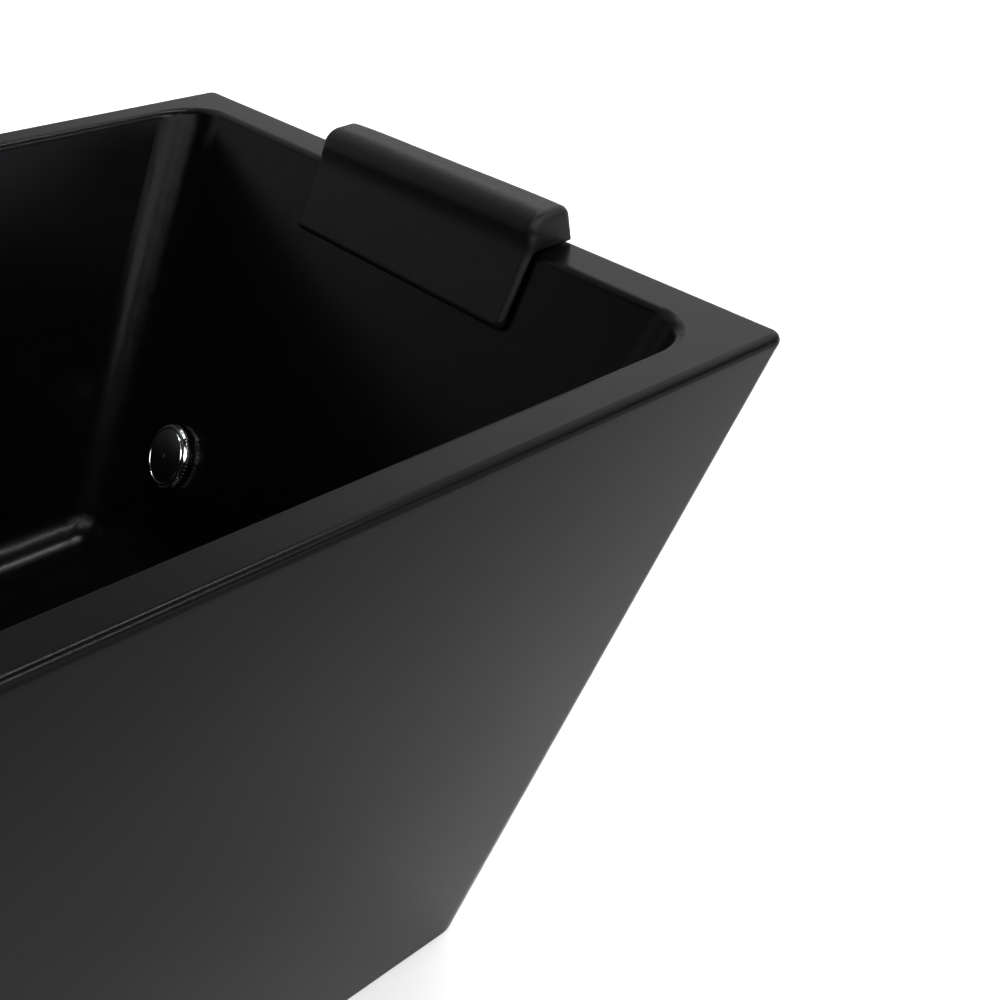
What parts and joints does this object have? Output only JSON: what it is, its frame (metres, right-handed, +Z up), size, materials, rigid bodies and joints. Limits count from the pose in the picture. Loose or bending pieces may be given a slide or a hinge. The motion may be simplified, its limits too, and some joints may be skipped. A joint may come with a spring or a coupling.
{
  "type": "freestanding bath",
  "caption": "Tapered freestanding bath with a flat rim, a soft headrest hooked over one end, a round knob that works the pop-up waste, and screw feet inside its skirt.",
  "frame": {"origin": "on the floor, under the centre of the bath's outline", "axes": "+X along the bath towards the headrest end, +Y across it towards the side that the knob is on, +Z up"},
  "size_m": [1.7, 0.8, 0.6125],
  "materials": {
    "acrylic": "black satin acrylic sheet",
    "adhesive": "cured sealant",
    "board": "chipboard, sealed with resin",
    "timber": "sawn softwood",
    "galvanised": "zinc-plated steel",
    "nylon": "black nylon",
    "chrome": "polished chrome plate",
    "seal_rubber": "black rubber",
    "plumbing_plastic": "grey moulded polypropylene",
    "hose_plastic": "pale ribbed hose",
    "cable_sheath": "black cable sheath",
    "headrest_foam": "black integral-skin polyurethane foam",
    "silicone": "grey silicone"
  },
  "bodies": {
    "bath": {"apron_block_1": "timber", "apron_block_2": "timber", "apron_block_3": "timber", "apron_block_4": "timber", "apron_shell": "acrylic", "basin_shell": "acrylic", "cleat_screws": "galvanised", "crank_cover": "plumbing_plastic", "drain_body": "plumbing_plastic", "drain_flange": "chrome", "drain_gasket_top": "seal_rubber", "drain_gasket_under": "seal_rubber", "floor_board": "board", "foot_lock_nuts": "galvanised", "foot_weld_nuts": "galvanised", "hose_clip_screws": "galvanised", "hose_clips": "galvanised", "hose_nut_overflow": "plumbing_plastic", "hose_nut_waste": "plumbing_plastic", "leg_bar_foot_end": "galvanised", "leg_bar_head_end": "galvanised", "leg_bar_screws": "galvanised", "overflow_elbow": "plumbing_plastic", "overflow_gasket_front": "seal_rubber", "overflow_gasket_rear": "seal_rubber", "overflow_hose": "hose_plastic", "overflow_plate": "chrome", "pull_cable": "cable_sheath", "rim_adhesive_bead": "adhesive", "tailpiece": "plumbing_plastic", "tailpiece_nut": "plumbing_plastic", "tailpiece_washer": "seal_rubber"},
    "knob": {"overflow_knob": "chrome", "knob_spindle": "galvanised"},
    "stopper": {"stopper_cap": "chrome", "stopper_seal": "seal_rubber", "stopper_stem": "galvanised"},
    "lever": {"lift_lever": "plumbing_plastic"},
    "headrest": {"headrest_pad": "headrest_foam", "headrest_core": "galvanised", "headrest_grip_left": "silicone", "headrest_grip_right": "silicone"},
    "foot_1": {"foot_pad_1": "nylon"},
    "stud_1": {"foot_stud_1": "galvanised"},
    "foot_2": {"foot_pad_2": "nylon"},
    "stud_2": {"foot_stud_2": "galvanised"},
    "foot_3": {"foot_pad_3": "nylon"},
    "stud_3": {"foot_stud_3": "galvanised"},
    "foot_4": {"foot_pad_4": "nylon"},
    "stud_4": {"foot_stud_4": "galvanised"}
  },
  "joints": [
    {"name": "knob_turn", "type": "hinge", "parent": "bath", "child": "knob", "pos_m": [0.63841, 0.181, 0.288], "axis": [-0.8622, 0, 0.5066], "range_deg": [0, 90]},
    {"name": "stopper_lift", "type": "slide", "parent": "bath", "child": "stopper", "axis": [0, 0, 1], "range_m": [0, 0.012]},
    {"name": "lever_swing", "type": "hinge", "parent": "bath", "child": "lever", "pos_m": [0.283, 0, 0.1307], "axis": [0, -1, 0], "range_deg": [0, 41.3]},
    {"name": "headrest_lift", "type": "slide", "parent": "bath", "child": "headrest", "axis": [0, 0, 1], "range_m": [0, 0.1]},
    {"name": "foot_1_travel", "type": "slide", "parent": "bath", "child": "foot_1", "axis": [0, 0, -1], "range_m": [0, 0.0175]},
    {"name": "foot_1_screw", "type": "hinge", "parent": "foot_1", "child": "stud_1", "pos_m": [0.44, 0.2, 0.02], "axis": [0, 0, -1], "range_deg": [0, 3600]},
    {"name": "foot_2_travel", "type": "slide", "parent": "bath", "child": "foot_2", "axis": [0, 0, -1], "range_m": [0, 0.0175]},
    {"name": "foot_2_screw", "type": "hinge", "parent": "foot_2", "child": "stud_2", "pos_m": [0.44, -0.2, 0.02], "axis": [0, 0, -1], "range_deg": [0, 3600]},
    {"name": "foot_3_travel", "type": "slide", "parent": "bath", "child": "foot_3", "axis": [0, 0, -1], "range_m": [0, 0.0175]},
    {"name": "foot_3_screw", "type": "hinge", "parent": "foot_3", "child": "stud_3", "pos_m": [-0.44, 0.2, 0.02], "axis": [0, 0, -1], "range_deg": [0, 3600]},
    {"name": "foot_4_travel", "type": "slide", "parent": "bath", "child": "foot_4", "axis": [0, 0, -1], "range_m": [0, 0.0175]},
    {"name": "foot_4_screw", "type": "hinge", "parent": "foot_4", "child": "stud_4", "pos_m": [-0.44, -0.2, 0.02], "axis": [0, 0, -1], "range_deg": [0, 3600]}
  ],
  "couplings": [
    {"joint": "stopper_lift", "follows": "knob_turn", "m_per_rad": 0.0076394},
    {"joint": "lever_swing", "follows": "knob_turn", "ratio": 0.45888},
    {"joint": "foot_1_screw", "follows": "foot_1_travel", "rad_per_m": 3590.4},
    {"joint": "foot_2_screw", "follows": "foot_2_travel", "rad_per_m": 3590.4},
    {"joint": "foot_3_screw", "follows": "foot_3_travel", "rad_per_m": 3590.4},
    {"joint": "foot_4_screw", "follows": "foot_4_travel", "rad_per_m": 3590.4}
  ]
}
